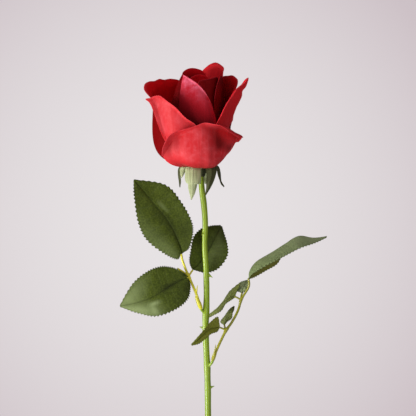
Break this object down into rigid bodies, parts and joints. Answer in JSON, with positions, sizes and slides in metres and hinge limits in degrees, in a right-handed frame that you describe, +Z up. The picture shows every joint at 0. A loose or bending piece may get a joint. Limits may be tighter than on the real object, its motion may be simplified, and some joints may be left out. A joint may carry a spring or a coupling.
{
  "type": "rose in a bud vase",
  "caption": "Single red artificial rose with serrated leaves on moulded stalks, its stem standing in a slim plain ceramic bud vase.",
  "frame": {"origin": "centre of the vase's foot, in the plane it stands on", "axes": "+Z up along the vase and the stem, +X to the right of the bloom as seen from its front, +Y away from the front"},
  "size_m": [0.1492, 0.0734, 0.4336],
  "materials": {
    "petal_red": "velvety, soft sheen",
    "leaf_green": "fine woven cloth, pressed veins",
    "stem_green": "satin moulded plastic",
    "stalk_yellow": "satin moulded plastic",
    "sepal_green": "soft, pale inside and dark outside",
    "glaze_white": "opaque glazed ceramic, smooth"
  },
  "bodies": {
    "root": {"vase": "glaze_white", "stem": "stem_green", "left_stalk": "stalk_yellow", "right_stalk": "stalk_yellow", "leaf_left_upper": "leaf_green", "leaf_left_lower": "leaf_green", "leaf_left_back": "leaf_green", "leaf_right_low_front": "leaf_green", "leaf_right_low_back": "leaf_green", "leaf_right_mid_front": "leaf_green", "leaf_right_mid_back": "leaf_green", "leaf_right_end": "leaf_green", "calyx": "sepal_green", "bloom": "petal_red"}
  },
  "joints": []
}
